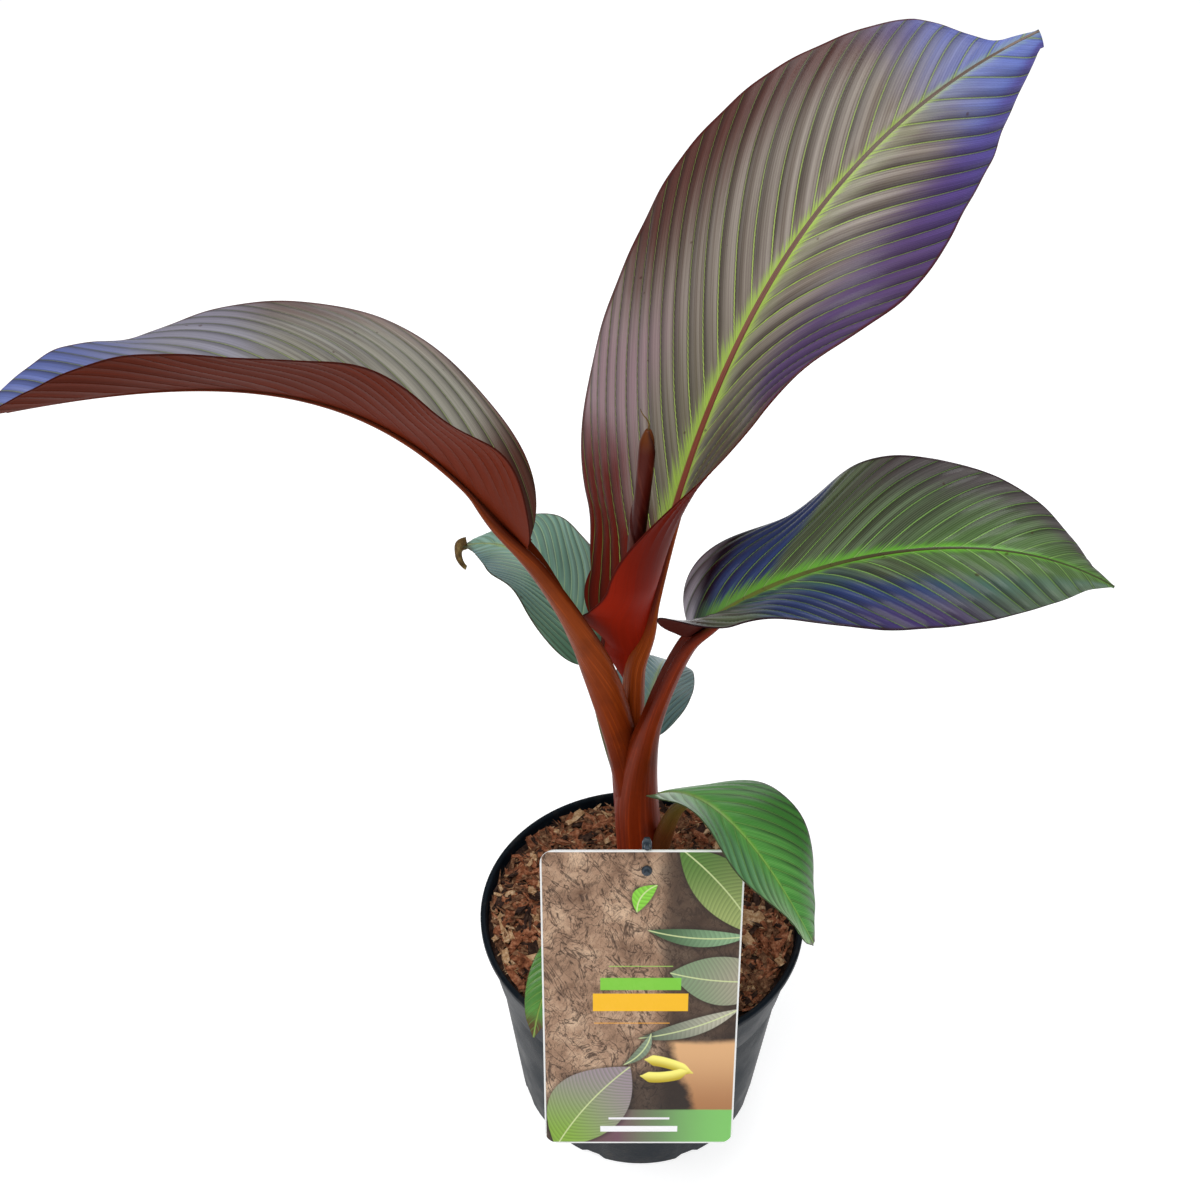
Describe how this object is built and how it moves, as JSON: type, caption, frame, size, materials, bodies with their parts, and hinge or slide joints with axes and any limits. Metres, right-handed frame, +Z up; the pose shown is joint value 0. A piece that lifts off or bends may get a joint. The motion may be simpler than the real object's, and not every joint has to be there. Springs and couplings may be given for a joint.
{
  "type": "potted banana plant",
  "caption": "Young red-leaved banana plant in a round plastic nursery pot of bark, with broad arching leaves, a rolled new leaf and a plant label leaning on the rim.",
  "frame": {"origin": "centre of the pot's flat underside", "axes": "+Z up along the pot's axis, -Y towards the front, where the label leans on the rim, +X to the right seen from the front"},
  "size_m": [0.4127, 0.2091, 0.5518],
  "materials": {
    "pot": "satin blue-black moulded plastic",
    "bark": "moist pine-bark chips, matt",
    "pseudostem": "smooth mahogany-red leaf sheaths, satin",
    "petiole": "smooth orange-brown leaf stalk, satin",
    "rolled_leaf": "tightly rolled dark red new leaf, satin",
    "leaf_red": "ribbed leaf, purple-brown above with yellow-green veins, brick red below, satin",
    "leaf_green": "ribbed green leaf with a thin purple margin, satin",
    "label": "printed laminated card, glossy",
    "stake": "dark moulded plastic"
  },
  "bodies": {
    "root": {"pot": "pot", "root_ball": "bark", "pseudostem": "pseudostem", "label_card": "label", "label_stake": "stake", "petiole_right": "petiole", "petiole_left": "petiole", "petiole_upright": "petiole", "petiole_back_left": "petiole", "petiole_back_right": "petiole", "petiole_low_right": "petiole", "petiole_low_left": "petiole", "spear": "rolled_leaf", "blade_right": "leaf_red", "blade_left": "leaf_red", "blade_upright": "leaf_red", "blade_back_left": "leaf_green", "blade_back_right": "leaf_green", "blade_low_right": "leaf_green", "blade_low_left": "leaf_green"}
  },
  "joints": []
}
